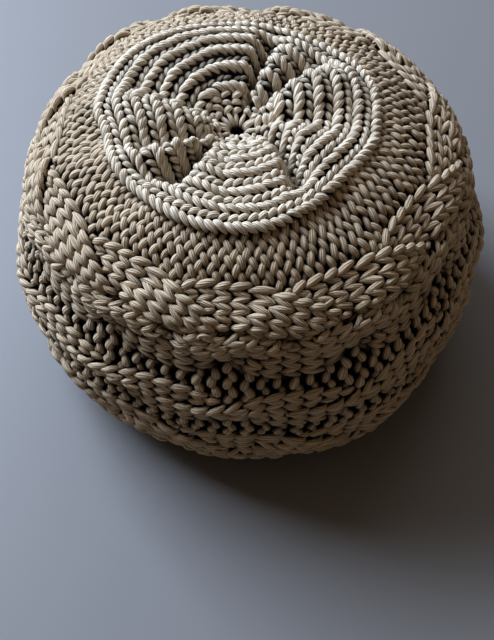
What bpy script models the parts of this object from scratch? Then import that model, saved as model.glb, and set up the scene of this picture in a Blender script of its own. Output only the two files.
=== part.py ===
"""Knitted pouf: a filled side band knitted with cables, a crocheted top disc and a base disc.

Azimuth 0 is the front, towards -Y, and it grows towards +X. The band is knitted sideways, so its
rows stand upright and its cables run round the pouf. Lengths are metres unless a name says mm.
"""

import math

import bmesh
import bpy

MM = 0.001
GAP = 0.0006  # between pieces that touch

# Knitting
ROWS = 96  # rows of stitches round the band, and columns of every mesh here
FIRST_ROW = 3  # row, counted from the back, where a repeat of every cable starts
CROSSING_ROWS = 4.5  # rows that a strand takes to change places
CROSSING_REACH = 3.4  # rows, each way, over which it rises over or dives under the others

# Where the strands of a cable change places. Place 1 is the cable's upper edge and -1 its lower.
PLAIT_REPEAT = 24  # rows
PLAIT_CROSSINGS = (
    # row, change of place, whether the strand passes under
    (0, 1, True),
    (8, -1, False),
    (12, -1, True),
    (20, 1, False),
    (24, 1, True),
)
ROPE_REPEAT = 16  # rows
ROPE_CROSSINGS = (
    # row, change of place, whether the strand passes under
    (4, 2, False),
    (12, -2, True),
)

# Relief, measured inwards from the outer surface
GUTTER_DEPTH = 0.014
STRAND_BED_DEPTH = 0.014
UNDER_STRAND_DEPTH = 0.010
BETWEEN_CROSSINGS_DEPTH = 0.004
STRAND_CROWN = 0.006
FOOT_FADE = 0.025  # along the band, from full relief to the flat floor edge

# Top and base discs
DISC_RADIUS = 0.1535
DISC_THICKNESS = 0.011
DISC_CENTRE = (-0.011, 0.003)
DISC_EDGE_TOP = 0.334
DISC_RIM_SHARE = 0.96  # of its radius, where the disc's flat faces end and its rim rounds over
EYELET_RADIUS = 0.0068
EYELET_SHARE = 0.05  # of the disc's radius, where the eyelet's height is taken
WELL_DEPTH = 0.022  # of the hollow that the eyelet opens on
BASE_RADIUS = 0.150
BASE_THICKNESS = 0.010

LEAN = (0.02, 0.14)  # share of height gained for each metre towards +X and +Y

# The band's outer surface from its top seam to the floor. Shift is the share of DISC_CENTRE that
# the ring moves by, and steps is the number of mesh rings to the next row.
BAND_PROFILE = (
    # name, radius_mm, height_mm, shift, steps
    ("seam", 154.5, 328, 1.0, 1),
    ("purl_mid", 180, 317, 0.8, 1),
    ("plait_top", 203, 304, 0.6, 3),
    ("plait_upper", 231, 285, 0.4, 2),
    ("plait_lower", 248, 261, 0.2, 3),
    ("plait_end", 259, 233, 0.1, 1),
    ("gutter", 265, 213, 0.0, 1),
    ("rope_top", 271, 197, 0.0, 3),
    ("rope_mid", 277, 160, 0.0, 3),
    ("rope_end", 277, 126, 0.0, 1),
    ("lower_gutter", 273, 108, 0.0, 1),
    ("lower_plait_top", 271, 91, 0.0, 3),
    ("lower_plait_upper", 264, 55, 0.0, 3),
    ("lower_plait_lower", 248, 21, 0.0, 2),
    ("floor_edge", 224, 0, 0.0, 0),
)

# The cables, from the top down
CABLES = (
    # first and last profile row, crossings, rows in a repeat, strands, place before row 0,
    # swing and half width of a strand as shares of the cable's width
    ("plait_top", "plait_end", PLAIT_CROSSINGS, PLAIT_REPEAT, 3, 0, 0.30, 0.20),
    ("rope_top", "rope_end", ROPE_CROSSINGS, ROPE_REPEAT, 2, -1, 0.25, 0.26),
    ("lower_plait_top", "floor_edge", PLAIT_CROSSINGS, PLAIT_REPEAT, 3, 0, 0.30, 0.20),
)

# How far the band swells out (+) or flattens (-) round the pouf
SWELLS = (
    # azimuth_deg, swell_mm
    (-145, 4),
    (-90, -4),
    (-40, 3),
    (0, 0),
    (40, 5),
    (90, 2),
    (135, 1),
    (180, -4),
)

# The drawn-up folds of the top disc: ridges (+) and creases (-) round the eyelet
FOLDS = (
    # azimuth_deg, height_mm
    (-165, 5),
    (-140, -2),
    (-113, -9),
    (-99, 13),
    (-81, -13),
    (-68, 13),
    (-47, -17),
    (-33, 2),
    (0, 3),
    (26, 2),
    (37, -15),
    (54, 9),
    (80, -2),
    (112, 15),
    (131, -8),
    (148, 4),
    (161, -12),
    (172, 5),
)

# How far the disc's edge reaches out (+), or its creases draw it in (-)
DISC_EDGE = (
    # azimuth_deg, reach_mm
    (-135, 7),
    (-95, 0),
    (-78, -10),
    (-50, -5),
    (3, 9),
    (50, -9),
    (80, 0),
    (110, 5),
    (145, -3),
    (180, -2),
)

# How the disc rises from its eyelet to its edge, and how strong the folds are there
DISC_RINGS = (
    # radius_share, height_mm above the edge, fold_share
    (0.00, -12, 0.0),
    (0.12, -9, 0.15),
    (0.33, 1, 0.70),
    (0.56, 6, 1.00),
    (0.79, 5, 0.75),
    (1.00, 0, 0.35),
)

NEAR_DISC_SHIFT = 0.6  # the band follows the disc's edge where its shift is more than this
FOOT_BLEND = 0.09  # along the band, from where it swells fully down to the floor

# Colours of the cotton cord, as it shows on each piece
BAND_COLOUR = (0.36, 0.30, 0.22, 1.0)
DISC_COLOUR = (0.44, 0.39, 0.31, 1.0)
BASE_COLOUR = (0.33, 0.28, 0.21, 1.0)
CORD_ROUGHNESS = 0.9


def ease(share):
    """0 to 1 along a half cosine."""
    return 0.5 - 0.5 * math.cos(math.pi * min(max(share, 0.0), 1.0))


def around(table, azimuth):
    """The value of a table of (azimuth_deg, value) rows at an azimuth in degrees, eased between rows."""
    rows = sorted(table)
    rows = [(rows[-1][0] - 360, rows[-1][1])] + rows + [(rows[0][0] + 360, rows[0][1])]
    azimuth = (azimuth + 180) % 360 - 180
    for (start, first), (end, last) in zip(rows, rows[1:]):
        if start <= azimuth <= end:
            return first + (last - first) * ease((azimuth - start) / (end - start))
    return rows[0][1]


def between(rows, share, column):
    """A column of a table whose rows start with a share, in a straight line between rows."""
    for low, high in zip(rows, rows[1:]):
        if share <= high[0]:
            part = (share - low[0]) / (high[0] - low[0])
            return low[column] + (high[column] - low[column]) * part
    return rows[-1][column]


def place(radius, azimuth, height, shift):
    """A point of a ring round the pouf's axis, moved by the disc's offset and leaning a little."""
    angle = math.radians(azimuth)
    x = radius * math.sin(angle) + DISC_CENTRE[0] * shift
    y = -radius * math.cos(angle) + DISC_CENTRE[1] * shift
    return (x, y, height * (1 + LEAN[0] * x + LEAN[1] * y))


def strand(row, crossings, repeat, start):
    """(place, depth) of a cable's first strand at a row."""
    row %= repeat
    position = start
    depth = BETWEEN_CROSSINGS_DEPTH
    for crossing, change, under in crossings:
        position += change * ease(0.5 + (row - crossing) / CROSSING_ROWS)
        target = UNDER_STRAND_DEPTH if under else 0.0
        depth += (target - BETWEEN_CROSSINGS_DEPTH) * ease(1 - abs(row - crossing) / CROSSING_REACH)
    return position, depth


def cable_depth(across, row, crossings, repeat, strands, start, swing, half_width):
    """Depth of the highest of a cable's strands, across its middle line, below the outer surface."""
    depth = STRAND_BED_DEPTH
    for number in range(strands):
        position, strand_depth = strand(row + number * repeat / strands, crossings, repeat, start)
        offset = (across - position * swing) / half_width
        if abs(offset) < 1:
            depth = min(depth, strand_depth + STRAND_CROWN * offset * offset)
    return depth


def profile_lengths():
    """Distance from the seam to each row of BAND_PROFILE, along the profile, by name."""
    lengths = {}
    total = 0.0
    last = BAND_PROFILE[0]
    for entry in BAND_PROFILE:
        total += math.hypot(entry[1] - last[1], entry[2] - last[2]) * MM
        lengths[entry[0]] = total
        last = entry
    return lengths


LENGTHS = profile_lengths()


def relief(length, row):
    """How deep the band's knitted surface lies at a distance from the seam, at a row."""
    for first, last, crossings, repeat, strands, start, swing, half in CABLES:
        if LENGTHS[first] <= length <= LENGTHS[last]:
            width = LENGTHS[last] - LENGTHS[first]
            across = (LENGTHS[first] + LENGTHS[last]) / 2 - length
            fade = ease((LENGTHS["floor_edge"] - length) / FOOT_FADE)
            depth = cable_depth(across, row, crossings, repeat, strands, start, swing * width, half * width)
            return depth * fade
    if length < LENGTHS["plait_top"]:
        return STRAND_CROWN * length / LENGTHS["plait_top"]
    return GUTTER_DEPTH


def catmull(before, low, high, after, share):
    """A smooth curve's value between two of its points."""
    slope_low = (high - before) / 2
    slope_high = (after - low) / 2
    square = share * share
    cube = square * share
    return (
        (2 * cube - 3 * square + 1) * low
        + (cube - 2 * square + share) * slope_low
        + (3 * square - 2 * cube) * high
        + (cube - square) * slope_high
    )


def profile_points():
    """(length, radius, height, shift, inward normal) of every mesh ring of the band."""
    points = []
    last = len(BAND_PROFILE) - 1
    for index, (name, _, _, _, steps) in enumerate(BAND_PROFILE):
        rows = [BAND_PROFILE[min(max(index + offset, 0), last)] for offset in (-1, 0, 1, 2)]
        for step in range(max(steps, 1)):
            share = step / max(steps, 1)
            radius, height, shift = (
                catmull(*(entry[column] for entry in rows), share) for column in (1, 2, 3)
            )
            length = LENGTHS[name] + share * (LENGTHS[rows[2][0]] - LENGTHS[name])
            points.append([length, radius * MM, height * MM, shift])
    for index, point in enumerate(points):
        low = points[max(index - 1, 0)]
        high = points[min(index + 1, len(points) - 1)]
        along = (high[1] - low[1], high[2] - low[2])
        size = math.hypot(*along)
        point.append((along[1] / size, -along[0] / size))
    return points


def disc_height(share, azimuth):
    """Height of the middle of the top disc at a share of its radius, before the pouf's lean."""
    dome = between(DISC_RINGS, share, 1) * MM
    folds = between(DISC_RINGS, share, 2) * around(FOLDS, azimuth) * MM
    return DISC_EDGE_TOP - DISC_THICKNESS / 2 + dome + folds


def azimuths():
    """The azimuth of each column of the meshes, from -180 to 180 degrees."""
    return [row * 360 / ROWS - 180 for row in range(ROWS)]


def disc_ring(share, above):
    """A ring of the top disc at a share of its radius, this far above its middle."""
    points = []
    for azimuth in azimuths():
        edge = DISC_RADIUS + around(DISC_EDGE, azimuth) * MM
        points.append(place(edge * share, azimuth, disc_height(share, azimuth) + above, 1.0))
    return points


def eyelet_ring(above):
    """The rim of the eyelet, this far above the disc's middle."""
    height = disc_height(EYELET_SHARE, 0.0) + above
    return [place(EYELET_RADIUS, azimuth, height, 1.0) for azimuth in azimuths()]


def band_ring(length, radius, height, shift, inward):
    """A ring of the band, with its relief."""
    points = []
    near_disc = max(shift - NEAR_DISC_SHIFT, 0.0) / (1 - NEAR_DISC_SHIFT)
    near_floor = ease((LENGTHS["floor_edge"] - length) / FOOT_BLEND)
    for row, azimuth in enumerate(azimuths()):
        swell = around(SWELLS, azimuth) * MM * (1 - shift) * near_floor
        reach = around(DISC_EDGE, azimuth) * MM * near_disc
        lifted = (disc_height(1.0, azimuth) - DISC_EDGE_TOP + DISC_THICKNESS / 2) * near_disc
        depth = relief(length, row - FIRST_ROW)
        out = radius + swell + reach + inward[0] * depth
        up = max(height + lifted + inward[1] * depth, 0.0)
        points.append(place(out, azimuth, up, shift))
    return points


def loft(name, rings, material, collection, is_ring=False):
    """One closed object through rings of equal count, from the inside of its top round to its foot.

    The first and last ring are capped or, on a ring-shaped object, joined to each other.
    """
    mesh = bmesh.new()
    layers = [[mesh.verts.new(point) for point in ring] for ring in rings]
    following_layers = layers[1:] + layers[:1] if is_ring else layers[1:]
    for upper, lower in zip(layers, following_layers):
        for index in range(ROWS):
            following = (index + 1) % ROWS
            mesh.faces.new((upper[index], lower[index], lower[following], upper[following]))
    # The shorter diagonal, so that surfaces a gap apart are cut into triangles alike
    bmesh.ops.triangulate(mesh, faces=mesh.faces, quad_method="SHORT_EDGE")
    if not is_ring:
        mesh.faces.new(reversed(layers[0]))
        mesh.faces.new(layers[-1])
    bmesh.ops.recalc_face_normals(mesh, faces=mesh.faces)
    data = bpy.data.meshes.new(name)
    mesh.to_mesh(data)
    mesh.free()
    data.materials.append(material)
    data.shade_smooth()
    thing = bpy.data.objects.new(name, data)
    collection.objects.link(thing)
    return thing


def cord_material(name, colour):
    """Plain cotton cord of one colour."""
    material = bpy.data.materials.new(name)
    material.use_nodes = True
    shader = material.node_tree.nodes["Principled BSDF"]
    shader.inputs["Base Color"].default_value = colour
    shader.inputs["Roughness"].default_value = CORD_ROUGHNESS
    shader.inputs["Metallic"].default_value = 0.0
    return material


def add_side_band(collection):
    """The knitted band, filled: crown under the disc, relief of its cables, and a flat foot."""
    under_disc = -DISC_THICKNESS / 2 - GAP
    shares = [entry[0] for entry in DISC_RINGS[1:-1]] + [DISC_RIM_SHARE]
    rings = [eyelet_ring(under_disc - WELL_DEPTH), eyelet_ring(under_disc)]
    rings += [disc_ring(share, under_disc) for share in shares]
    rings += [band_ring(*point) for point in profile_points()]
    for height in (0.0, BASE_THICKNESS + GAP):
        rings.append([place(BASE_RADIUS + GAP, azimuth, height, 0.0) for azimuth in azimuths()])
    material = cord_material("band_cord", BAND_COLOUR)
    return loft("side_band", rings, material, collection)


def add_top_disc(collection):
    """The crocheted disc that closes the top, with its folds and its open eyelet."""
    half = DISC_THICKNESS / 2
    shares = [entry[0] for entry in DISC_RINGS[1:-1]] + [DISC_RIM_SHARE]
    rings = [eyelet_ring(half)]
    rings += [disc_ring(share, half) for share in shares]
    rings.append(disc_ring(1.0, 0.0))
    rings += [disc_ring(share, -half) for share in reversed(shares)]
    rings.append(eyelet_ring(-half))
    material = cord_material("disc_cord", DISC_COLOUR)
    return loft("top_disc", rings, material, collection, is_ring=True)


def add_base_disc(collection):
    """The plain crocheted disc that closes the underside, flush with the foot."""
    bpy.ops.mesh.primitive_cylinder_add(
        vertices=ROWS // 2,
        radius=BASE_RADIUS - GAP,
        depth=BASE_THICKNESS,
        location=(0.0, 0.0, BASE_THICKNESS / 2),
    )
    disc = bpy.context.active_object
    disc.name = "base_disc"
    disc.data.materials.append(cord_material("base_cord", BASE_COLOUR))
    for other in list(disc.users_collection):
        other.objects.unlink(disc)
    collection.objects.link(disc)
    return disc


def main():
    for thing in list(bpy.data.objects):
        bpy.data.objects.remove(thing)
    collection = bpy.data.collections.new("knitted_pouf")
    bpy.context.scene.collection.children.link(collection)
    add_side_band(collection)
    add_top_disc(collection)
    add_base_disc(collection)


main()
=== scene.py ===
"""Knitted pouf: the loops of cotton cord of its side band, and the crocheted rounds of its top.

Azimuth 0 is the front, towards -Y, and it grows towards +X. Lengths are metres unless a comment
says mm. A row is one row of stitches of the band, which was knitted sideways: ROWS of them stand
side by side round it. Rows are counted from the back, and a row is also the unit of azimuth.
Depths are measured outwards from the pouf's surface, and are negative below it.
"""

import bpy
import numpy as np
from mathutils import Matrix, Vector
from mathutils.bvhtree import BVHTree


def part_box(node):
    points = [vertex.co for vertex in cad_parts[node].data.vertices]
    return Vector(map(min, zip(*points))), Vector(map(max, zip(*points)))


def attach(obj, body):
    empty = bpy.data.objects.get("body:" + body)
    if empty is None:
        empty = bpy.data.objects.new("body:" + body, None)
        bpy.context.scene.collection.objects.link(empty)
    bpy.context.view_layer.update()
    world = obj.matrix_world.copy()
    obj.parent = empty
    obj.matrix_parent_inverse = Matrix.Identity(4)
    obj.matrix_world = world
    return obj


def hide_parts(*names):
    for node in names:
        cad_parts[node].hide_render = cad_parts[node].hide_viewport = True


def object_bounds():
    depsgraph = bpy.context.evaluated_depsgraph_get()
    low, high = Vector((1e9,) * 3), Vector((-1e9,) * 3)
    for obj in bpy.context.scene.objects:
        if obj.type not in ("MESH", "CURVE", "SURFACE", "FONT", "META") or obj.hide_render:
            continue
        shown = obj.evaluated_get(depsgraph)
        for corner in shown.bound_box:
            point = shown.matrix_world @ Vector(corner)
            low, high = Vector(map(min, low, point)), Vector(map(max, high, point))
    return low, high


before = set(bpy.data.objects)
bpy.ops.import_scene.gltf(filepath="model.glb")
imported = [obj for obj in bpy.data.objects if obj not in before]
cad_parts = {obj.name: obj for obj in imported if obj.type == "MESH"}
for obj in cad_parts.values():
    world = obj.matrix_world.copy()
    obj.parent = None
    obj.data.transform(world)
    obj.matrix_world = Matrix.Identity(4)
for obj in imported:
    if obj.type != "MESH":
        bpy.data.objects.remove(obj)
CAD_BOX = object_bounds()

MM = 0.001
RANDOM = np.random.default_rng(11)
ROWS = 96  # knit rows round the band

# The cord
CORD = 0.0084  # thickness where it lies loose
FLATTENING = 0.92  # thickness across the surface, as a share of the width
SIDES = 8  # of a cord's section
LOWEST = 0.0003  # no cord lies lower: the pouf's underside is flat, just above the floor

# Knit loops, of which the cables are made. A loop's head and foot, each an arc, are joined by two
# legs, and only the legs show. A wale is the width of one loop.
KNIT_STEPS = 11  # steps along the cord in one loop
FRONT_STEPS = 2.0  # by what share they lie closer where the loop shows
FINE_STEPS = 400  # points in one loop, while its length is measured
KNIT_RISE = 0.0040  # how far a loop's front and back lie from the middle of the cloth
KNIT_OVERHANG = 0.0048  # how far a loop's head and foot reach into the next rows' loops
LEG_LEAN = 0.36  # how far a leg leans to either side of its middle, as a share of a wale
ARC_TURN = 0.30  # how quickly an arc runs into a leg, in radians
LEG_SHOWS = 0.93  # share of a leg's length that shows
KNIT_SWELL = (0.18, 0.97)  # the cord's thickness at the back and at the front of a loop, as a share
SWELL_POWER = 1.1  # how pointed the part that shows is
KNIT_LIFT = 6  # how long a loop stays at the front before it dives
CLOTH_DEPTH = 0.0085  # of the middle of the cloth, below the pouf's surface
KNIT_WANDER = (0.03, 0.0005, 0.0004, 0.04)  # along its strand in rows, across, depth, thickness share

# The band's surface, from the seam under the top disc down to the floor and in under it. Shift is
# the share by which a ring of it follows the top disc, which lies off the pouf's middle.
BAND_PROFILE = (
    # name, radius_mm, height_mm, shift
    ("seam", 150, 327, 1.0),
    ("purl_mid", 180, 317, 0.8),
    ("plait_top", 203, 304, 0.6),
    ("plait_upper", 231, 285, 0.4),
    ("plait_lower", 248, 261, 0.2),
    ("plait_end", 261, 218, 0.05),
    ("rope_top", 268, 199, 0.0),
    ("rope_mid", 275, 174, 0.0),
    ("rope_end", 278, 146, 0.0),
    ("lower_plait_top", 277, 126, 0.0),
    ("lower_plait_upper", 268, 70, 0.0),
    ("lower_plait_end", 247, 18, 0.0),
    ("floor_edge", 224, 0, 0.0),
    ("under", 190, 0, 0.0),
    ("under_end", 152, 0, 0.0),
)
PROFILE_STEPS = 8  # points between two rows of the profile
FULL_RADIUS = 278.4  # mm, the band's reach towards +X that these sizes belong to
FULL_HEIGHT = 345.8  # mm, and its height
LEAN = (0.02, 0.11)  # share of height gained for each metre towards +X and +Y
NEAR_DISC_SHIFT = 0.6  # the band follows the disc's edge where its shift is more than this
FLOOR_FADE = 0.09  # length over which the swells fade towards the floor
SWELLS = (
    # azimuth_deg, mm by which the band stands further out there
    (-145, -4),
    (-115, -11),
    (-95, -9),
    (-70, -3),
    (-50, -6),
    (-27, -7),
    (0, -2),
    (30, 4),
    (50, -6),
    (90, -1),
    (135, -5),
    (180, -14),
)

# Cables, whose strands go from one edge to the other and back, over and under each other
FIRST_ROW = 3  # row, counted from the back, where a repeat of every cable starts
OVER_RISE = 0.0056  # of a strand where it lies on another
UNDER_DROP = 0.0115  # and where another lies on it
OVERLAP_SOFTNESS = 0.0065  # half the width over which it rises or drops at the other's edge
STRAND_CROWN = 0.0016  # how much lower a strand's edges lie than its middle
BUNCHED = 0.020  # and how much lower still if it were narrowed to nothing
NARROWED_ROWS = 2.8  # to either side of the row where a strand is narrowest
EDGE_SWELL = 0.12  # the loops along a strand's upper edge are thicker by this share
EDGE_LIFT = 0.0026  # and lie higher
HIDDEN_CROWDING = 0.7  # stitches lie closer by this share where another strand covers them
CORNER = 0.3  # how much of a strand's way from one edge to the other goes into its bends
CHANGEOVER = 2.0  # how quickly a rope's strands change over between their crossings
COURSE_STEPS = 40  # points in each row of a strand's course
PLAIT_WAISTS = ((11.5, 0.24, -2), (19.9, 0.34, -4))  # row, share it narrows by, mm it moves down
ROPE_WAISTS = ((4, 0.20, 0), (12, 0.20, 0))
LOWER_WAISTS = ((11.5, 0.24, -4), (19.9, 0.26, -5))
CABLES = (
    # name, profile rows of its upper and lower edge, rows in a repeat, strands, row at which the
    # first strand is at the upper edge, rows that it takes to the other edge, wales in a strand,
    # width of a wale in mm, and the first strand's waists
    ("plait", "plait_top", "plait_end", 24, 3, 4, 8.0, 4, 13.0, PLAIT_WAISTS),
    ("rope", "rope_top", "rope_end", 16, 2, 8, 5.0, 2, 13.4, ROPE_WAISTS),
    ("lower_plait", "lower_plait_top", "lower_plait_end", 24, 3, 4, 8.0, 4, 13.6, LOWER_WAISTS),
)

# Purl stitches and the loops of crocheted rounds are spindles, which dip at both tips
STEP = np.linspace(-1, 1, 8)  # the steps along it, from one tip to the other
DIVE_POWER = 2.5  # how late it dips

# Purl stitches: one upright chain of short loops in each row, which goes on in under the cables
# beside it. Its loops lie on its left side and on its right by turns.
PURLS = (
    # name, profile row that it starts from and how far after it in mm, the same for where it ends,
    # how far apart a chain's loops are and a loop's length and width in mm, the thickness of its
    # tips as a share, and in mm how far it lies to its side, how far it leans, and its depth
    ("purl_top", "seam", -1, "plait_top", 30, 9.6, 23.0, 8.6, 0.20, 2.9, 3.8, 1.2),
    ("gutter", "plait_end", -40, "rope_top", 16, 10.6, 20.0, 10.6, 0.22, 2.8, 3.2, 1.4),
    ("lower_gutter", "rope_end", -12, "lower_plait_top", 22, 10.6, 20.0, 10.6, 0.22, 2.8, 3.2, 1.4),
    ("purl_under", "lower_plait_end", -30, "floor_edge", 12, 11.8, 19.0, 11.6, 0.28, 2.3, 2.4, 2.0),
)
PURL_CURVE = 0.0016  # how far its tips bend towards the chain's middle
PURL_DIVE = 0.0056  # how much lower its tips lie than its middle
PURL_TILT = 0.0014  # and how much more its lower tip, which goes in under the next loop
PURL_TUCK = 0.0095  # how much lower it lies under a cable
PURL_WANDER = (0.0008, 0.0005, 0.0006, 0.0005, 0.06)  # along, aside, lean, depth, thickness share
HIDDEN = 0.85  # a loop is left out if all of it lies further in under a cable than this share

# A small loop that is pulled out of the plait: length from the seam where it starts, row of its
# middle, its half width, height and thickness, and how far it stands out
SNAG = (0.1190, 45.6, 0.0072, 0.0100, 0.0042, 0.0085)
SNAG_STEPS = 16
SNAG_ENDS = 0.25  # how far its ends go on round into the cloth, in radians
SNAG_DEPTH = 0.001  # how far below the surface it starts
SNAG_TIP = 0.8  # thickness near its ends, as a share

# The crocheted top: an eyelet in a well, posts and knobs round it, then ropes of slanting loops.
# A place on it is a share of the disc's reach, the way from DISC_CENTRE to its edge.
DISC_CENTRE = (-0.011, 0.003)
WELL = (0.017, 0.080)  # how far the eyelet lies below the disc's surface, and its reach
POSTS = 14
POST_REACH = (0.0085, 0.0215)  # radii at which a post starts and ends
POST_RADIUS = 0.0027
POST_DEPTH = (0.0035, 0.006)  # of a post, and how much more at its inner end
POST_TIP = 0.7  # thickness of its tips, as a share
POST_WANDER = (0.35, 0.4, 0.0006, 0.08)  # round the disc and slant in rows, depth, thickness share
KNOB_ROUNDS = (
    # radius, knobs, size of a knob
    (0.0240, 14, 0.0040),
    (0.0305, 17, 0.0038),
    (0.0372, 21, 0.0041),
)
KNOB_HALF = 0.0052  # half a knob's length
KNOB_DIVE = 0.0035  # how much lower its ends lie than its middle
KNOB_TIP = 0.4  # thickness of its tips, as a share
KNOB_WANDER = (0.5, 0.0018, 0.0008, 0.0010, 0.08)  # rows, slant, place, depth, thickness share
ROPES = 11
RING_STEPS = 8  # points in each row, while a rope's length is measured
INNER_ROPE = 0.0450  # radius of the innermost rope
OUTER_SHARE = 0.975  # of the disc's reach, at the outermost rope's middle
ROPE_TIP = 0.35  # thickness of the tips of a rope's loop, as a share
ROPE_DIVE = 0.0050  # how much lower its tips lie than its middle
ROPE_TILT = 0.0012  # and how much more the inner tip, which goes in under the next loop
# Pitch, half length, slant in degrees, radius and depth of the loops of every other rope
FAT_LOOP = (0.0094, 0.0089, 34, 0.0042, 0.0000)
THIN_LOOP = (0.0097, 0.0078, -28, 0.0037, -0.0016)
BACK_RELIEF = 2.8  # how many times its own depth a thin rope lies deeper at the back
MESSY_ROPES = 2  # the innermost ropes are less even than the others
MESS = (0.0013, 0.0007)  # how far a loop strays along those ropes, and along the others
MESS_TURN = 5000  # degrees that its slant strays for each metre of that
ROPE_UNEVEN = 0.06  # how uneven its thickness is, as a share

# The flat rounds underneath: radius of the first and last, rounds, and pitch of their loops
BASE_ROUNDS = (0.012, 0.148, 11, 0.013)
UNDER_ROUNDS = (0.160, 0.208, 4, 0.017)  # of the band's part under the pouf
BASE_LOOP = (0.75, 0.6, 0.40)  # half length, slant and half thickness, as shares of the pitch
BASE_TIP = 0.5  # thickness of a loop's tips, as a share
BASE_DIVE = 0.002  # how much further up its tips lie than its middle
BASE_WANDER = 0.0004  # of a loop, inwards or outwards

# The top disc's surface: a grid of heights that is read off the solid's top, by share of the
# disc's reach and by row, and the corrections made to it
GRID_SHARES = 48
READ_FROM = 0.05  # how far above the pouf the reading starts
EYELET_SHARE = 0.06  # the heights nearer to the middle than this are taken here
LAST_HIT_SHARE = 0.985  # the last height is read off just inside the edge
FOLD_SHARES = (0.25, 0.50, 0.72, 0.90)  # of the disc's reach
FOLD_PLACES = (
    # azimuth of a ridge or hollow in the solid, and the azimuths it is moved to at those shares
    (-180, -180, -180, -180, -180),
    (-112, -112, -112, -112, -112),
    (-97, -70, -79, -86, -92),
    (-82, -42, -49, -60, -68),
    (-67, -36, -42, -52, -60),
    (-45, -31, -31, -33, -46),
    (-30, -24, -23, -22, -30),
    (0, 0, 0, 0, 0),
    (15, 18, 15, 14, 14),
    (30, 46, 34, 26, 25),
    (37, 57, 42, 33, 32),
    (52, 66, 55, 47, 46),
    (67, 74, 68, 64, 64),
    (90, 90, 90, 90, 90),
    (180, 180, 180, 180, 180),
)
RIM_CALM = (0.76, 0.94, 0.70)  # the folds fade between these shares of the reach, by this share
CREASES = (
    # azimuth at the inner end and at the outer, shares of the reach where it starts and ends,
    # depth and half width in mm
    (-13, -3, 0.30, 0.85, 4, 7.0),
    (-38, -69, 0.25, 0.93, 7, 5.0),
    (-31, -33, 0.30, 0.82, 9, 7.0),
    (60, 31, 0.22, 0.82, 12, 5.5),
    (162, 160, 0.25, 0.80, 7, 6.0),
)
CREASE_FADES = (0.12, 0.08)  # shares of the reach over which a crease fades in and out
BACK_TRIM = (0.030, 0.0045)  # share by which the disc reaches less far at the back, and its drop there
FOLD_GAIN = 1.4  # the disc's hollows are made deeper by this share of their depth
FOLD_ROWS = 6  # rows to either side that a hollow's depth is measured against

# The filled inside, a form under the stitches painted near-black as shade, made of rings
EYELET_RING = (0.04, -0.030)  # share of the disc's reach, and depth
CROWN_SHARES = (0.1, 0.2, 0.3, 0.4, 0.5, 0.6, 0.7, 0.8, 0.9, 0.96)
CROWN_DEPTH = -0.013  # under the disc
SIDE_RINGS = (0.008, 0.03, 40)  # length past the seam, length past the floor edge, rings
SIDE_DEPTH = -0.0185  # under the band
FOOT_HEIGHT = 0.012  # of the lowest rings

# The cord's look: its colour, the colour of the painted shade in its grooves, and how far below the
# surface the painted shade starts
# the band's cord is the top's cord, given a darker colour as painted shade for the band's shaded sides
BAND_LOOK = ((0.56, 0.45, 0.318), (0.14, 0.095, 0.055), 0.0015)
DISC_LOOK = ((0.73, 0.635, 0.50), (0.18, 0.135, 0.09), 0.0036)
SHADE_SPAN = 0.0056  # depth over which the painted shade darkens it
SHADE_SHARE = 0.12  # share of the painted groove shade colour that is left where the cord lies deepest, as painted shade
TWIST = 12.0  # turn of the plies in radians, for each metre of cord
PLIES = 5.0  # seen from one side
PLY_WAVER = 7.0  # how unevenly they lie
PLY_ROUNDNESS = 0.75
STRETCH = 22.0  # how much of the noise pattern a metre of cord takes
STREAK_HEIGHT = 0.6  # of the fine streaks, as a share of a ply's
LINE_SHARES = (0.10, 0.70, 0.40)  # of the cord's colour in the grooves between plies, and added by plies and streaks; the rest is painted groove shade
PATCHINESS = 0.12  # how much paler or darker the cord is in places

# The studio
LIGHTS = (
    # name, place, point that it faces, size, power in watts, colour
    ("window", (-2.6, 1.9, 2.6), (0, 0, 0.2), 2.6, 345, (0.76, 0.90, 1.12)),
    ("sky", (0.3, 2.2, 3.2), (0.1, 0, 0.1), 2.6, 20, (0.85, 0.93, 1.05)),
)
WORLD_GLOW = ((1.0, 0.79, 0.58, 1), 0.17)  # colour and strength
CAMERA_PLACE = (0.0, -0.766, 1.055)
CAMERA_TILT = 34.634  # degrees up from looking straight down
SENSOR = 36.0  # its height in mm
LENS = 55.17  # mm


def ease(share):
    """0 to 1 along a half cosine."""
    return 0.5 - 0.5 * np.cos(np.pi * np.clip(share, 0.0, 1.0))


def unit(vectors):
    """The vectors, each with a length of 1."""
    return vectors / np.maximum(np.linalg.norm(vectors, axis=-1, keepdims=True), 1e-9)


def running(steps):
    """The running total of steps along the last axis, from 0."""
    total = np.cumsum(steps, axis=-1)
    return np.concatenate([np.zeros(total.shape[:-1] + (1,)), total], axis=-1)


def strays(amount, count=ROWS):
    """One random offset for each of a number of loops, as a column."""
    return RANDOM.normal(0, amount, (count, 1))


def spindle(tip):
    """A loop's thickness along it, as a share: 1 in its middle and less at its tips."""
    return tip + (1 - tip) * (1 - STEP**2)


def around(table, azimuth):
    """Values of a table of (azimuth_deg, value) rows at azimuths in degrees, eased between rows."""
    rows = sorted(table)
    rows = [(rows[-1][0] - 360, rows[-1][1])] + rows + [(rows[0][0] + 360, rows[0][1])]
    starts, values = np.array(rows, float).T
    azimuth = (np.asarray(azimuth) + 180) % 360 - 180
    index = np.clip(np.searchsorted(starts, azimuth, side="right") - 1, 0, len(rows) - 2)
    share = (azimuth - starts[index]) / (starts[index + 1] - starts[index])
    return values[index] + (values[index + 1] - values[index]) * ease(share)


def angle_of(row):
    """A row's azimuth in radians."""
    return np.radians(row * 360 / ROWS - 180)


def at_back(row):
    """1 at the pouf's back and 0 at its front."""
    return (1 + np.cos(2 * np.pi * row / ROWS)) / 2


def by_row(values, row):
    """A value for each row round the pouf, in a straight line between rows."""
    return np.interp(np.asarray(row) % ROWS, np.arange(ROWS + 1), np.append(values, values[0]))


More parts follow.
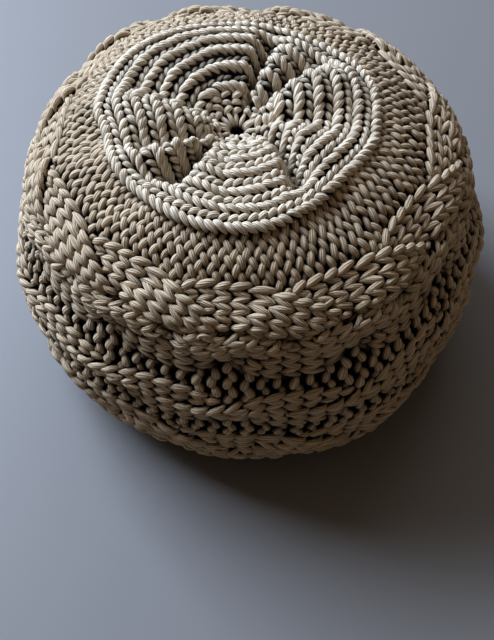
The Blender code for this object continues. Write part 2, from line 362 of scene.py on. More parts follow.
def smooth_profile():
    """A smooth curve through the rows of the band's profile, fitted to the solid's size.

    It is given as the length from the seam, radius, height and shift of each of its points, and
    the two parts of the normal there, outwards and up.
    """
    table = np.array([row[1:] for row in BAND_PROFILE], float)
    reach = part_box("side_band")[1]
    table[:, 0] *= reach.x / FULL_RADIUS
    table[:, 1] *= reach.z / FULL_HEIGHT
    last = len(table) - 1
    dense = []
    for index in range(last):
        before, low, high, after = (table[min(max(index + k, 0), last)] for k in (-1, 0, 1, 2))
        for share in np.arange(0, 1, 1 / PROFILE_STEPS):
            square, cube = share**2, share**3
            dense.append(
                (2 * cube - 3 * square + 1) * low
                + (cube - 2 * square + share) * (high - before) / 2
                + (3 * square - 2 * cube) * high
                + (cube - square) * (after - low) / 2
            )
    dense = np.array(dense + [table[last]])
    dense[:, 1] = np.maximum(dense[:, 1], 0.0)
    along = np.gradient(dense[:, :2], axis=0)
    along /= np.hypot(*along.T)[:, None]
    length = running(np.hypot(*np.diff(dense[:, :2], axis=0).T))
    return length, dense[:, 0], dense[:, 1], dense[:, 2], -along[:, 1], along[:, 0]


LENGTH, RADIUS, HEIGHT, SHIFT, OUT, UP = smooth_profile()
MARKS = {row[0]: LENGTH[index * PROFILE_STEPS] for index, row in enumerate(BAND_PROFILE)}


def row_pitch(length):
    """How far apart the rows stand at a length from the seam."""
    return 2 * np.pi * np.interp(length, LENGTH, RADIUS) / ROWS


def disc_outline(corners):
    """The top disc's reach and the height of its edge, by row."""
    away = corners[:, :2] - np.array(DISC_CENTRE)
    azimuth = np.degrees(np.arctan2(away[:, 0], -away[:, 1]))
    row = np.round((azimuth + 180) / 360 * ROWS).astype(int) % ROWS
    distance = np.hypot(*away.T)
    reach, edge = np.zeros(ROWS), np.zeros(ROWS)
    for number in range(ROWS):
        here = row == number
        reach[number] = distance[here].max()
        edge[number] = corners[here][distance[here].argmax(), 2]
    return reach, edge


def disc_heights(disc, reach):
    """Heights of the top disc's upper surface, by share of its reach and by row."""
    tree = BVHTree.FromPolygons(
        [v.co for v in disc.vertices], [list(p.vertices) for p in disc.polygons]
    )
    grid = np.zeros((GRID_SHARES, ROWS))
    start = CAD_BOX[1][2] + READ_FROM
    for number in range(ROWS):
        angle = angle_of(number)
        for index in range(GRID_SHARES):
            share = max(index / (GRID_SHARES - 1), EYELET_SHARE) * LAST_HIT_SHARE
            spot = share * reach[number]
            x = DISC_CENTRE[0] + spot * np.sin(angle)
            y = DISC_CENTRE[1] - spot * np.cos(angle)
            grid[index, number] = tree.ray_cast(Vector((x, y, start)), Vector((0, 0, -1)))[0].z
    return grid


def moved_folds(grid):
    """The grid with its folds in their final places, which curve on their way outwards."""
    azimuth = np.arange(ROWS) * 360 / ROWS - 180
    places = np.array(FOLD_PLACES, float)
    moved = np.empty(grid.shape)
    for index, share in enumerate(np.linspace(0, 1, GRID_SHARES) * LAST_HIT_SHARE):
        now = [np.interp(share, FOLD_SHARES, place) for place in places[:, 1:]]
        before = np.interp(azimuth, now, places[:, 0])
        moved[index] = by_row(grid[index], (before + 180) * ROWS / 360)
    return moved


def creases(reach):
    """How much lower the narrow creases make the disc, on its grid of shares and rows."""
    share = np.linspace(0, 1, GRID_SHARES)[:, None] * LAST_HIT_SHARE
    azimuth = np.arange(ROWS)[None, :] * 360 / ROWS - 180
    depth = np.zeros((GRID_SHARES, ROWS))
    for inner, outer, start, end, most, half in CREASES:
        part = np.clip((share - start) / (end - start), 0, 1)
        aside = np.radians(azimuth - inner - (outer - inner) * part) * share * reach
        fade = ease((share - start) / CREASE_FADES[0]) * ease((end - share) / CREASE_FADES[1])
        depth = depth + most * MM * fade * np.exp(-((aside / (half * MM)) ** 2))
    return depth


def finished_disc():
    """The top disc's grid of heights with every correction, its reach and its edge's height."""
    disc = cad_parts["top_disc"].data
    reach, edge = disc_outline(np.array([v.co for v in disc.vertices]))
    grid = moved_folds(disc_heights(disc, reach))
    shares = np.linspace(0, 1, GRID_SHARES)[:, None]
    nearby = [np.roll(grid, step, axis=1) for step in range(-FOLD_ROWS, FOLD_ROWS + 1)]
    hollows = np.minimum(grid - np.mean(nearby, axis=0), 0)
    grid = grid + FOLD_GAIN * (1 - shares**3) * hollows - creases(reach)
    calm = RIM_CALM[2] * ease((shares - RIM_CALM[0]) / (RIM_CALM[1] - RIM_CALM[0]))
    grid = grid + calm * (np.mean(grid, axis=1, keepdims=True) - grid)
    less, lower = (trim * at_back(np.arange(ROWS)) for trim in BACK_TRIM)
    return grid - lower * shares, reach * (1 - less), edge - lower


DISC_GRID, DISC_REACH, DISC_EDGE = finished_disc()


def band_surface(length, row, depth):
    """Points of the band at a length from the seam, a row and a depth outwards of its surface."""
    angle = angle_of(row)
    shift = np.interp(length, LENGTH, SHIFT)
    near_disc = np.clip((shift - NEAR_DISC_SHIFT) / (1 - NEAR_DISC_SHIFT), 0, 1)
    near_floor = ease((MARKS["floor_edge"] - length) / FLOOR_FADE)
    swell = around(SWELLS, np.degrees(angle)) * MM * (1 - near_disc) * near_floor
    reach = (by_row(DISC_REACH, row) - DISC_REACH.mean()) * near_disc
    lifted = (by_row(DISC_EDGE, row) - DISC_EDGE.mean()) * near_disc
    out = np.interp(length, LENGTH, RADIUS) + swell + reach + depth * np.interp(length, LENGTH, OUT)
    up = np.interp(length, LENGTH, HEIGHT) + depth * np.interp(length, LENGTH, UP)
    x = out * np.sin(angle) + DISC_CENTRE[0] * shift
    y = -out * np.cos(angle) + DISC_CENTRE[1] * shift
    lean = 1 + (LEAN[0] * x + LEAN[1] * y) * (1 - near_disc)
    return np.stack([x, y, up * lean + lifted], axis=-1)


def disc_surface(share, row, depth):
    """Points of the top disc at a share of its reach, a row and a depth above its surface."""
    angle = angle_of(row)
    spot = share * by_row(DISC_REACH, row)
    where = np.clip(share / LAST_HIT_SHARE, 0, 1) * (GRID_SHARES - 1)
    low = np.clip(np.floor(where).astype(int), 0, GRID_SHARES - 2)
    part = where - low
    column = np.asarray(row) % ROWS
    left = np.floor(column).astype(int) % ROWS
    right = (left + 1) % ROWS
    side = column - np.floor(column)
    near = DISC_GRID[low, left] * (1 - side) + DISC_GRID[low, right] * side
    far = DISC_GRID[low + 1, left] * (1 - side) + DISC_GRID[low + 1, right] * side
    up = near * (1 - part) + far * part + depth - WELL[0] * (1 - ease(spot / WELL[1]))
    x = DISC_CENTRE[0] + spot * np.sin(angle)
    y = DISC_CENTRE[1] - spot * np.cos(angle)
    return np.stack([x, y, up], axis=-1)


def base_surface(radius, row, depth):
    """Points of the base at a radius, a row and a depth below the floor plane."""
    angle = angle_of(row)
    return np.stack([radius * np.sin(angle), -radius * np.cos(angle), -depth], axis=-1)


def tube_rings(path, outward, radius):
    """Corners of tubes, by tube, step and side, and how much higher than its path each one lies."""
    turn = np.arange(SIDES) * 2 * np.pi / SIDES - np.pi / 2  # so that the UV's seam is underneath
    along = unit(np.gradient(path, axis=1))
    side = unit(np.cross(along, outward))
    up = np.cross(side, along)
    aside = radius[:, :, None] * np.cos(turn)
    height = radius[:, :, None] * np.sin(turn) * FLATTENING
    ring = path[:, :, None] + side[:, :, None] * aside[..., None] + up[:, :, None] * height[..., None]
    return ring, height


def tube_faces(count, steps):
    """Quads of a number of tubes, and their end caps, as indices into their corners."""
    corner = np.arange(SIDES)
    first = np.arange(count)[:, None, None] * steps * SIDES
    step = np.arange(steps - 1)[None, :, None] * SIDES
    here = first + step + corner
    beside = first + step + (corner + 1) % SIDES
    quads = np.stack([here, beside, beside + SIDES, here + SIDES], axis=-1).reshape(-1, 4)
    start = first[:, 0]
    end = start + (steps - 1) * SIDES
    caps = np.stack([start + corner[::-1], end + corner], axis=1).reshape(-1, SIDES)
    return quads, caps


def tube_spots(path):
    """UVs of the tubes' quads: the length along the cord, started anywhere, and the share round it."""
    run = running(np.linalg.norm(np.diff(path, axis=1), axis=-1))
    run = run + RANDOM.uniform(0, 1, (len(path), 1))
    corner = np.arange(SIDES) / SIDES
    low, high, here = np.broadcast_arrays(run[:, :-1, None], run[:, 1:, None], corner)
    beside = here + 1 / SIDES
    return np.stack([low, here, low, beside, high, beside, high, here], axis=-1).reshape(-1, 4, 2)


def tube_mesh(name, batches, material):
    """One mesh of closed tubes. Each batch is (path, outward, radius, depth), tubes by steps."""
    corners, quads, caps, spots, sunk = [], [], [], [], []
    start = 0
    for path, outward, radius, depth in batches:
        ring, height = tube_rings(path, outward, radius)
        batch_quads, batch_caps = tube_faces(*path.shape[:2])
        corners.append(ring.reshape(-1, 3))
        quads.append(start + batch_quads)
        caps.append(start + batch_caps)
        spots.append(tube_spots(path))
        # how far below the surface each corner lies, which the cord materials turn into painted shade
        sunk.append(-(depth[:, :, None] + height).ravel())
        start += len(corners[-1])
    corners, quads, caps, spots = (np.concatenate(k) for k in (corners, quads, caps, spots))
    corners[:, 2] = np.maximum(corners[:, 2], LOWEST)
    piece = make_mesh(name, corners, quads, spots, caps, material)
    layer = piece.data.attributes.new("sunk", "FLOAT", "POINT")
    layer.data.foreach_set("value", np.concatenate(sunk).astype(np.float32))
    return piece


def add_object(name, data, place=(0, 0, 0), turn=(0, 0, 0)):
    """A new object in the scene."""
    thing = bpy.data.objects.new(name, data)
    thing.location = place
    thing.rotation_euler = turn
    bpy.context.scene.collection.objects.link(thing)
    return thing


def make_mesh(name, corners, quads, spots, caps, material):
    """A smooth-shaded mesh object from arrays of quads with UVs, and of end caps."""
    mesh = bpy.data.meshes.new(name)
    mesh.vertices.add(len(corners))
    mesh.vertices.foreach_set("co", corners.astype(np.float32).ravel())
    loops = np.concatenate([quads.ravel(), caps.ravel()])
    mesh.loops.add(len(loops))
    mesh.loops.foreach_set("vertex_index", loops.astype(np.int32))
    sizes = np.concatenate([np.full(len(quads), 4), np.full(len(caps), caps.shape[1])])
    starts = np.concatenate([[0], np.cumsum(sizes)[:-1]])
    mesh.polygons.add(len(sizes))
    mesh.polygons.foreach_set("loop_start", starts.astype(np.int32))
    mesh.update(calc_edges=True)
    layer = mesh.uv_layers.new(name="cord")
    uv = np.zeros((len(loops), 2), np.float32)
    uv[: quads.size] = spots.reshape(-1, 2)
    layer.data.foreach_set("uv", uv.ravel())
    mesh.materials.append(material)
    mesh.shade_smooth()
    mesh.validate()
    return add_object(name, mesh)


def laid(surface, first, row, depth, radius):
    """A batch for tube_mesh: cords laid on a surface, given as arrays of tubes by steps."""
    path = surface(first, row, depth)
    outward = unit(surface(first, row, depth + MM) - path)
    return path, outward, radius, depth


def soft_clip(values):
    """Values held to 1 either way, with a smooth bend on the way in."""
    size = np.abs(values)
    bend = 1 - (1 + CORNER - size) ** 2 / (4 * CORNER)
    held = np.where(size < 1 - CORNER, size, np.where(size > 1 + CORNER, 1.0, bend))
    return np.sign(values) * held


class Strands:
    """The course that every strand of a cable takes, and how its rows of stitches lie along it.

    All strands take the first one's course, each some rows further on. It is held in fine steps of
    phase, the rows since the repeat began: the length from the seam to its middle, its width as a
    share, its lean, and how many stitches have passed.
    """

    def __init__(self, cable):
        self.name, first, last, self.repeat, self.count, peak, ramp_rows = cable[:7]
        self.wales, wale_mm, waists = cable[7:]
        self.wale = wale_mm * MM
        self.half = self.wales * self.wale / 2
        middle = (MARKS[last] + MARKS[first]) / 2
        swing = (MARKS[last] - MARKS[first]) / 2 - self.half
        self.pitch = row_pitch(middle)
        self.phase = np.linspace(0, self.repeat, COURSE_STEPS * self.repeat + 1)
        past_middle = self.repeat / 4 - self.rows_from(peak)
        self.length = middle - swing * soft_clip(past_middle * 2 / ramp_rows)
        self.width = np.ones(self.phase.shape)
        for waist, narrowing, moved in waists:
            bump = ease(1 - self.rows_from(waist) / NARROWED_ROWS)
            self.width = self.width - narrowing * bump
            self.length = self.length + moved * MM * bump
        slope = np.gradient(self.length, self.phase) / self.pitch
        self.lean = np.arctan(slope)
        steps = np.hypot(1, slope) * (1 + HIDDEN_CROWDING * self.share_covered())
        passed = running((steps[1:] + steps[:-1]) / 2)
        self.passed = passed / passed[-1] * self.repeat

    def rows_from(self, row):
        """How many rows each phase lies from a row of the repeat, the shorter way round."""
        return np.abs((self.phase - row + self.repeat / 2) % self.repeat - self.repeat / 2)

    def share_covered(self):
        """How much of the first strand lies under others, at each phase."""
        most = np.zeros(self.phase.shape)
        for other in range(1, self.count):
            shift = other * self.repeat / self.count
            there = np.interp((self.phase + shift) % self.repeat, self.phase, self.length)
            overlap = np.clip(1 - np.abs(there - self.length) / (2 * self.half), 0, 1)
            most = most + overlap * self.covered(0, other, self.phase - self.offset(0))
        return np.clip(most, 0, 1)

    def offset(self, number):
        """What a strand's phase is at row 0."""
        return number * self.repeat / self.count - FIRST_ROW

    def at_row(self, number, row):
        """Length to a strand's middle at each row of azimuth, and half its width along that row."""
        phase = (row + self.offset(number)) % self.repeat
        lean = np.interp(phase, self.phase, self.lean)
        half = self.half * np.interp(phase, self.phase, self.width)
        return np.interp(phase, self.phase, self.length), half / np.cos(lean)

    def within(self, number, length, row):
        """1 at the points within a strand's width and 0 beside it, with a soft edge."""
        middle, half = self.at_row(number, row)
        return ease(0.5 + (half - np.abs(length - middle)) / OVERLAP_SOFTNESS / 2)

    def spot(self, number, stitch, across):
        """Length, row and width there, of the point at a stitch along a strand and across it."""
        whole = np.floor((stitch + self.offset(number)) / self.repeat) * self.repeat
        passed = (stitch + self.offset(number)) - whole
        phase = np.interp(passed, self.passed, self.phase)
        lean = np.interp(phase, self.phase, self.lean)
        width = np.interp(phase, self.phase, self.width)
        across = across * width
        length = np.interp(phase, self.phase, self.length) + across * np.cos(lean)
        row = phase + whole - self.offset(number) - across * np.sin(lean) / row_pitch(length)
        return length, row, width

    def covered(self, number, other, row):
        """Share by which another strand lies over this one, wherever the two meet."""
        if self.count > 2:
            return 1.0 if (other - number) % self.count == 1 else 0.0
        turn = 2 * np.pi * (row + self.offset(number) - self.repeat / 4) / self.repeat
        return np.clip(0.5 - CHANGEOVER * np.cos(turn), 0, 1)

    def rise(self, number, length, row):
        """How far a strand rises over the others, or is pushed in under them, at a point."""
        depth = np.zeros(np.broadcast(length, row).shape)
        for other in range(self.count):
            if other == number:
                continue
            over = self.covered(number, other, row)
            lift = OVER_RISE * (1 - over) - UNDER_DROP * over
            depth = depth + self.within(other, length, row) * lift
        return depth


def loop_across(times):
    """How far across, in wales, a course of loops has come: whole times are heads, halves feet."""
    leg = np.floor(2 * times)
    angle = 2 * np.pi * (times - leg / 2)  # 0 to pi along each leg
    end = 0.25 + LEG_LEAN  # from the middle of an arc to the end of a leg
    turn_in = end * (1 - angle / np.hypot(angle, ARC_TURN))
    turn_out = end * (1 - (np.pi - angle) / np.hypot(np.pi - angle, ARC_TURN))
    return leg / 2 + 0.25 + LEG_LEAN * np.cos(angle) - turn_in + turn_out


def from_front(times):
    """How far along the part of a leg that shows each time is: 0 its middle, 1 either end."""
    return np.abs(np.cos(2 * np.pi * times)) / LEG_SHOWS


def bulge(times, power):
    """1 at the front of a loop, 0 where it goes to the back and all along there."""
    return np.maximum(1 - from_front(times) ** power, 0.0)


def loop_times(wales, wale, reach):
    """Times of the steps along a course of loops, for a wale's width and half a loop's height."""
    fine = np.linspace(-0.5, wales - 0.5, FINE_STEPS * wales + 1)
    run = np.hypot(np.diff(loop_across(fine)) * wale, np.diff(np.cos(2 * np.pi * fine)) * reach)
    middles = (fine[1:] + fine[:-1]) / 2
    passed = running(run * (1 + FRONT_STEPS * (from_front(middles) < 1)))
    return np.interp(np.linspace(0, passed[-1], wales * KNIT_STEPS + 1), passed, fine)


def wander(wales, times, amount):
    """Smooth random offsets along the courses of all rows, with a new value at each leg."""
    values = RANDOM.normal(0, amount, (ROWS, 2 * wales + 3))
    spot = (times + 1) * 2
    low = np.floor(spot).astype(int)
    share = ease(spot - low)
    return values[:, low] * (1 - share) + values[:, low + 1] * share


def strand_courses(strands, number):
    """The cords of one strand of a cable: one course of knit loops at each row."""
    wales = strands.wales
    reach = 0.5 + KNIT_OVERHANG / strands.pitch
    times = loop_times(wales, strands.wale, reach * strands.pitch)
    along_stray, across_stray, depth_stray, thick_stray = KNIT_WANDER
    stitch = np.arange(ROWS)[:, None] + reach * np.cos(2 * np.pi * times)
    stitch = stitch + wander(wales, times, along_stray)
    across = (loop_across(times) - (wales - 1) / 2) * strands.wale
    across = across + wander(wales, times, across_stray)
    length, row, width = strands.spot(number, stitch, across)
    upper_edge = times < 0
    crown = STRAND_CROWN + BUNCHED * (1 - width)
    depth = (
        -CLOTH_DEPTH
        + KNIT_RISE * (2 * bulge(times, KNIT_LIFT) - 1)
        + strands.rise(number, length, row)
        - crown * (across / strands.half) ** 2
        + EDGE_LIFT * upper_edge
        + wander(wales, times, depth_stray)
    )
    thick = 1 + wander(wales, times, thick_stray) + EDGE_SWELL * upper_edge
    least, most = KNIT_SWELL
    swollen = least + (most - least) * bulge(times, 2) ** SWELL_POWER
    radius = CORD / 2 * swollen * thick * np.sqrt(width)
    return laid(band_surface, length, row, depth, radius)


def under_cables(cables, length, row):
    """How far in under the cables each point lies: 0 clear of them, 1 well in under one."""
    most = np.zeros(np.broadcast(length, row).shape)
    for strands in cables:
        for number in range(strands.count):
            most = np.maximum(most, strands.within(number, length, row))
    return most


def purl_loops(cables, zone):
    """The loops of a zone of purl stitches, on one side of their chains and the other by turns."""
    _, first, after_first, last, after_last, spacing, long, wide, tip, aside, lean, drop = zone
    along_stray, aside_stray, lean_stray, depth_stray, thick_stray = PURL_WANDER
    start = MARKS[first] + after_first * MM
    end = MARKS[last] + after_last * MM
    count = int(round((end - start) / (spacing * MM)))
    thick = wide * MM / 2
    batches = []
    for number in range(count):
        side = 1 if number % 2 else -1
        middle = start + (end - start) * (number + 0.5) / count
        length = middle + strays(along_stray) + STEP * long * MM / 2
        across = side * (aside * MM - PURL_CURVE * STEP**2 + lean * MM * STEP)
        across = across + strays(aside_stray) + strays(lean_stray) * STEP
        row = np.arange(ROWS)[:, None] + across / row_pitch(middle)
        under = under_cables(cables, length, row)
        depth = -thick * FLATTENING - drop * MM - PURL_TUCK * under
        depth = depth - PURL_DIVE * np.abs(STEP) ** DIVE_POWER - PURL_TILT * STEP
        depth = depth + strays(depth_stray)
        radius = thick * spindle(tip) * (1 + strays(thick_stray))
        clear = under.min(axis=1) < HIDDEN
        batches.append(laid(band_surface, length[clear], row[clear], depth[clear], radius[clear]))
    return batches


def snag_loop():
    """The pulled loop, which stands up from between two knit loops and goes in again beside them."""
    start, row, half, high, thick, out = SNAG
    turn = np.linspace(-SNAG_ENDS, np.pi + SNAG_ENDS, SNAG_STEPS)[None, :]
    length = start - high * np.sin(turn)
    row = row - half * np.cos(turn) / row_pitch(start)
    depth = out * np.sin(turn) - SNAG_DEPTH
    radius = thick / 2 * (SNAG_TIP + (1 - SNAG_TIP) * np.sin(turn))
    return laid(band_surface, length, row, depth, radius)


def rope_loops(share, loop, mess):
    """Slanting loops, one behind another, in a rope round the top disc at a share of its reach."""
    pitch, half, slant, thick, lift = loop
    fine = np.linspace(0, ROWS, RING_STEPS * ROWS + 1)
    ring = disc_surface(np.full(fine.shape, share), fine, 0.0)
    run = running(np.linalg.norm(np.diff(ring, axis=0), axis=1))
    count = int(round(run[-1] / pitch))
    centre = np.arange(count)[:, None] * run[-1] / count + strays(mess, count)
    angle = np.radians(slant + strays(mess * MESS_TURN, count))
    row = np.interp((centre + STEP * half * np.cos(angle)) % run[-1], run, fine)
    aside = STEP * half * np.sin(angle) + strays(mess / 2, count)
    outer = np.sign(slant) * STEP
    lift = lift * (1 + BACK_RELIEF * at_back(row))
    depth = lift - thick * FLATTENING - ROPE_DIVE * np.abs(STEP) ** DIVE_POWER + ROPE_TILT * outer
    depth = depth + strays(mess / 2, count)
    radius = thick * spindle(ROPE_TIP) * (1 + strays(ROPE_UNEVEN, count))
    return laid(disc_surface, share + aside / DISC_REACH.mean(), row, depth, radius)


def post_loops():
    """The radial stitches round the eyelet."""
    row_stray, slant_stray, depth_stray, thick_stray = POST_WANDER
    first, last = POST_REACH
    middle = np.arange(POSTS)[:, None] * ROWS / POSTS + strays(row_stray, POSTS)
    spot = ((first + last) / 2 + (last - first) / 2 * STEP) * np.ones((POSTS, 1))
    row = middle + STEP * strays(slant_stray, POSTS)
    deep, deeper = POST_DEPTH
    depth = -deep - deeper * np.maximum(-STEP, 0) ** 3 + strays(depth_stray, POSTS)
    radius = POST_RADIUS * spindle(POST_TIP) * (1 + strays(thick_stray, POSTS))
    return laid(disc_surface, spot / DISC_REACH.mean(), row, depth, radius)


def knob_loops(ring, count, size):
    """A round of short loops, which stand up as knobs."""
    row_stray, slant_stray, place_stray, depth_stray, thick_stray = KNOB_WANDER
    middle = np.arange(count)[:, None] * ROWS / count + strays(row_stray, count)
    row = middle + KNOB_HALF * STEP * ROWS / (2 * np.pi * ring)
    spot = ring + strays(slant_stray, count) * STEP + strays(place_stray, count)
    depth = -size - KNOB_DIVE * STEP**2 + strays(depth_stray, count)
    radius = size * spindle(KNOB_TIP) * (1 + strays(thick_stray, count))
    return laid(disc_surface, spot / DISC_REACH.mean(), row, depth, radius)


def top_loops():
    """Every loop of the top disc, from the eyelet outwards."""
    batches = [post_loops()] + [knob_loops(*knobs) for knobs in KNOB_ROUNDS]
    for number, share in enumerate(np.linspace(INNER_ROPE / DISC_REACH.mean(), OUTER_SHARE, ROPES)):
        fat = (ROPES - 1 - number) % 2 == 0
        mess = MESS[0] if number < MESSY_ROPES else MESS[1]
        batches.append(rope_loops(share, FAT_LOOP if fat else THIN_LOOP, mess))
    return batches


def base_loops(first, last, rounds, pitch):
    """The loops of plain flat rounds underneath, between two radii."""
    half, slant, thickness = BASE_LOOP
    batches = []
    for number, radius in enumerate(np.linspace(first, last, rounds)):
        count = int(round(2 * np.pi * radius / pitch))
        side = 1 if number % 2 else -1
        row = (np.arange(count)[:, None] + STEP * half) * ROWS / count
        spot = radius + side * slant * STEP * pitch / 2 + strays(BASE_WANDER, count)
        thick = pitch * thickness * spindle(BASE_TIP) * np.ones((count, 1))
        depth = -LOWEST - thick * FLATTENING - BASE_DIVE * STEP**2
        batches.append(laid(base_surface, spot, row, depth, thick))
    return batches


def inside_form(material):
    """The filled inside, under the stitches: crown, sides and foot, as one closed form."""
    rows = np.arange(ROWS)
    rings = [disc_surface(np.full(ROWS, EYELET_RING[0]), rows, EYELET_RING[1])]
    for share in CROWN_SHARES:
        rings.append(disc_surface(np.full(ROWS, share), rows, CROWN_DEPTH))
    first, past_edge, count = SIDE_RINGS
    for length in np.linspace(first, MARKS["floor_edge"] + past_edge, count):
        ring = band_surface(np.full(ROWS, length), rows, SIDE_DEPTH)
        ring[:, 2] = np.maximum(ring[:, 2], FOOT_HEIGHT)
        rings.append(ring)
    following = (rows + 1) % ROWS
    starts = np.arange(len(rings) - 1)[:, None] * ROWS
    sides = [starts + rows, starts + ROWS + rows, starts + ROWS + following, starts + following]
    quads = np.stack(sides, axis=-1).reshape(-1, 4)
    caps = np.array([rows[::-1], (len(rings) - 1) * ROWS + rows])
    spots = np.zeros((len(quads), 4, 2))
    return make_mesh("inside", np.concatenate(rings), quads, spots, caps, material)


def new_material(name, roughness):
    """A material and its node tree and shader."""
    material = bpy.data.materials.new(name)
    material.use_nodes = True
    shader = material.node_tree.nodes["Principled BSDF"]
    shader.inputs["Roughness"].default_value = roughness
    return material, material.node_tree, shader


def maths(tree, operation, *values):
    """The output of a maths node with these values, each a number or a socket."""
    node = tree.nodes.new("ShaderNodeMath")
    node.operation = operation
    for socket, value in zip(node.inputs, values):
        if isinstance(value, (int, float)):
            socket.default_value = value
        else:
            tree.links.new(value, socket)
    return node.outputs["Value"]


def blend(tree, factor, first, second):
    """The output of a colour mix, each colour being three numbers or a socket."""
    node = tree.nodes.new("ShaderNodeMix")
    node.data_type = "RGBA"
    sockets = [socket for socket in node.inputs if socket.type == "RGBA"]
    for socket, value in zip(sockets, (first, second)):
        if isinstance(value, tuple):
            socket.default_value = value + (1,)
        else:
            tree.links.new(value, socket)
    tree.links.new(factor, node.inputs[0])
    return next(socket for socket in node.outputs if socket.type == "RGBA")


def noise(tree, vector, scale, detail):
    """A noise texture's value at a vector."""
    node = tree.nodes.new("ShaderNodeTexNoise")
    node.inputs["Scale"].default_value = scale
    node.inputs["Detail"].default_value = detail
    tree.links.new(vector, node.inputs["Vector"])
    return node.outputs["Fac"]


def cord_lines(tree):
    """Heights of the plies that wind round the cord, and of the fine streaks along it."""
    spot = tree.nodes.new("ShaderNodeUVMap")
    spot.uv_map = "cord"
    split = tree.nodes.new("ShaderNodeSeparateXYZ")
    tree.links.new(spot.outputs["UV"], split.inputs["Vector"])
    along = split.outputs["X"]
    twist = maths(tree, "MULTIPLY", along, TWIST)
    turn = maths(tree, "MULTIPLY_ADD", split.outputs["Y"], 2 * np.pi, twist)
    ring = tree.nodes.new("ShaderNodeCombineXYZ")
    tree.links.new(maths(tree, "MULTIPLY", along, STRETCH), ring.inputs["X"])
    tree.links.new(maths(tree, "COSINE", turn), ring.inputs["Y"])
    tree.links.new(maths(tree, "SINE", turn), ring.inputs["Z"])
    waver = noise(tree, ring.outputs["Vector"], scale=1.3, detail=2.0)
    phase = maths(tree, "MULTIPLY_ADD", waver, PLY_WAVER, maths(tree, "MULTIPLY", turn, PLIES))
    ridge = maths(tree, "ABSOLUTE", maths(tree, "SINE", phase))
    plies = maths(tree, "POWER", ridge, PLY_ROUNDNESS)
    return plies, noise(tree, ring.outputs["Vector"], scale=5.0, detail=3.0)


def cord_bump(tree, plies, streaks):
    """The cord's normal, with its plies and streaks raised."""
    bump = tree.nodes.new("ShaderNodeBump")
    bump.inputs["Strength"].default_value = 0.8
    bump.inputs["Distance"].default_value = 0.0009
    height = maths(tree, "MULTIPLY_ADD", streaks, STREAK_HEIGHT, plies)
    tree.links.new(height, bump.inputs["Height"])
    return bump.outputs["Normal"]


def painted_shade_share(tree, shaded_from):
    """How much painted shade each point gets for lying deep between the cords, from 0 to 1."""
    sunk = tree.nodes.new("ShaderNodeAttribute")
    sunk.attribute_name = "sunk"
    shade = tree.nodes.new("ShaderNodeMapRange")
    shade.interpolation_type = "SMOOTHSTEP"
    shade.inputs["From Min"].default_value = shaded_from
    shade.inputs["From Max"].default_value = shaded_from + SHADE_SPAN
    tree.links.new(sunk.outputs["Fac"], shade.inputs["Value"])
    return shade.outputs["Result"]


def cord_material(name, colour, deep, shaded_from):
    """Soft cotton cord: fine plies along its length, uneven colour, and painted shade in the grooves
    between plies and where it lies deep between cords.
    """
    material, tree, shader = new_material(name, roughness=0.85)
    shader.inputs["Specular IOR Level"].default_value = 0.2
    shader.inputs["Sheen Weight"].default_value = 0.05
    shader.inputs["Sheen Roughness"].default_value = 0.5
    plies, streaks = cord_lines(tree)
    tree.links.new(cord_bump(tree, plies, streaks), shader.inputs["Normal"])
    place = tree.nodes.new("ShaderNodeTexCoord")
    patch = noise(tree, place.outputs["Object"], scale=26.0, detail=3.0)
    pale = tuple(min(part * (1 + PATCHINESS), 1.0) for part in colour)
    dull = tuple(part * (1 - PATCHINESS) for part in colour)
    least, by_plies, by_streaks = LINE_SHARES
    lines = maths(tree, "MULTIPLY_ADD", plies, by_plies, least)
    lines = maths(tree, "MULTIPLY_ADD", streaks, by_streaks, lines)
    # the lows between the plies take the painted groove shade colour
    lined = blend(tree, lines, deep, blend(tree, patch, dull, pale))
    # cord that lies deep between the others is darkened towards this colour as painted shade
    dark = tuple(part * SHADE_SHARE for part in deep)
    final = blend(tree, painted_shade_share(tree, shaded_from), lined, dark)
    tree.links.new(final, shader.inputs["Base Color"])
    return material


def dark_material():
    """The inside's near-black colour, painted shade that shows through the gaps."""
    material, tree, shader = new_material("painted_shade_inside", roughness=0.95)
    shader.inputs["Specular IOR Level"].default_value = 0.1
    texture = tree.nodes.new("ShaderNodeTexNoise")
    texture.inputs["Scale"].default_value = 300.0
    colour = blend(tree, texture.outputs["Fac"], (0.006, 0.005, 0.004), (0.022, 0.018, 0.014))
    tree.links.new(colour, shader.inputs["Base Color"])
    return material


def lay_floor():
    """The floor."""
    bpy.ops.mesh.primitive_plane_add(size=24.0, location=(0, 0, 0))
    floor = bpy.context.active_object
    floor.name = "floor"
    material, _, shader = new_material("floor_paint", roughness=0.6)
    shader.inputs["Base Color"].default_value = (0.19, 0.185, 0.185, 1)
    floor.data.materials.append(material)


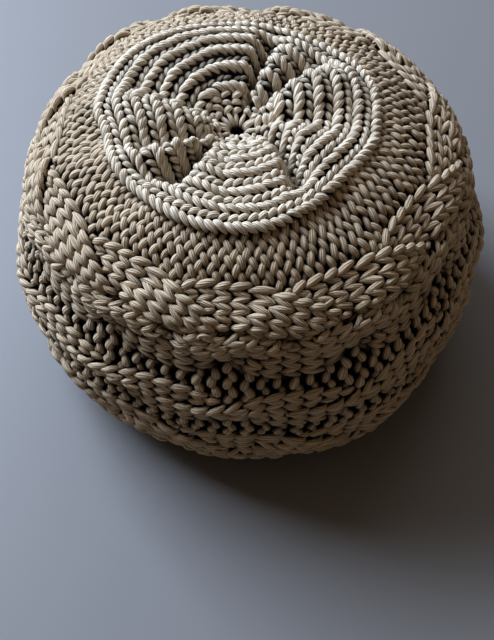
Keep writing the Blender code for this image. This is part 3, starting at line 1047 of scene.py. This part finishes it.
def light_world():
    """The world's even glow, and how light is turned into colours."""
    world = bpy.data.worlds.new("studio")
    bpy.context.scene.world = world
    world.use_nodes = True
    background = world.node_tree.nodes["Background"]
    colour, strength = WORLD_GLOW
    background.inputs["Color"].default_value = colour
    background.inputs["Strength"].default_value = strength
    bpy.context.scene.view_settings.view_transform = "Standard"
    bpy.context.scene.view_settings.look = "Medium High Contrast"


def hang_light(name, place, aim, size, power, colour):
    """A square area light that faces a point."""
    light = bpy.data.lights.new(name, "AREA")
    light.size = size
    light.energy = power
    light.color = colour
    ahead = Vector(aim) - Vector(place)
    add_object(name, light, place, ahead.to_track_quat("-Z", "Y").to_euler())


def place_camera():
    """The camera, which looks down on the pouf from the front."""
    camera = bpy.data.cameras.new("camera")
    camera.sensor_fit = "VERTICAL"
    camera.sensor_height = SENSOR
    camera.lens = LENS
    turn = (np.radians(CAMERA_TILT), 0, 0)
    bpy.context.scene.camera = add_object("camera", camera, CAMERA_PLACE, turn)


def finish_piece(piece, slot, *nodes):
    """Ties a piece to the root and hides the nodes that it replaces. Its slot is not used."""
    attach(piece, "root")
    if nodes:
        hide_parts(*nodes)


def main():
    """The studio, then every piece of the pouf."""
    lay_floor()
    light_world()
    for light in LIGHTS:
        hang_light(*light)
    place_camera()
    band = cord_material("band_cord_look", *BAND_LOOK)
    disc = cord_material("disc_cord_look", *DISC_LOOK)
    cables = [Strands(cable) for cable in CABLES]
    for strands in cables:
        for number in range(strands.count):
            name = f"{strands.name}_{number + 1}"
            piece = tube_mesh(name, [strand_courses(strands, number)], band)
            nodes = ["side_band"] if name == "plait_1" else []
            finish_piece(piece, "band_cord", *nodes)
    for zone in PURLS:
        finish_piece(tube_mesh(zone[0], purl_loops(cables, zone), band), "band_cord")
    finish_piece(tube_mesh("top_rounds", top_loops(), disc), "disc_cord", "top_disc")
    finish_piece(tube_mesh("under_rounds", base_loops(*UNDER_ROUNDS), band), "band_cord")
    finish_piece(tube_mesh("base_rounds", base_loops(*BASE_ROUNDS), band), "base_cord", "base_disc")
    finish_piece(tube_mesh("snag", [snag_loop()], band), "band_cord")
    form = inside_form(dark_material())
    finish_piece(form, "base_cord")


main()
